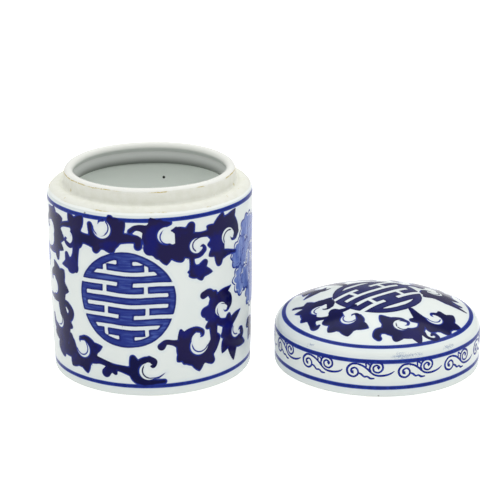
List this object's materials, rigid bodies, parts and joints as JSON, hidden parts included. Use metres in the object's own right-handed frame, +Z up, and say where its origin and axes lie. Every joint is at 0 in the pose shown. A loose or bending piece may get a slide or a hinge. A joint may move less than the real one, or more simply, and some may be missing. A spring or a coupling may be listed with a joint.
{
  "type": "apothecary jar",
  "caption": "Cylindrical glazed porcelain jar with a short unglazed neck, and a low domed lid that lifts off and stands beside it.",
  "frame": {"origin": "centre of the jar's foot ring, on the plane the jar and the lid stand on", "axes": "+Z up along the jar's axis, +X from the jar towards the lid standing beside it, -Y towards the viewer"},
  "size_m": [0.245, 0.1176, 0.1157],
  "materials": {
    "jar_porcelain": "glossy glaze over underglaze blue painting, bare matt cream neck and seat",
    "lid_porcelain": "glossy glaze over underglaze blue painting, bare matt cream mouth rim"
  },
  "bodies": {
    "jar": {"jar_body": "jar_porcelain"},
    "lid": {"lid": "lid_porcelain"}
  },
  "joints": [
    {"name": "lid_lift", "type": "slide", "parent": "jar", "child": "lid", "axis": [0, 0, 1], "range_m": [0, 0.125]}
  ]
}
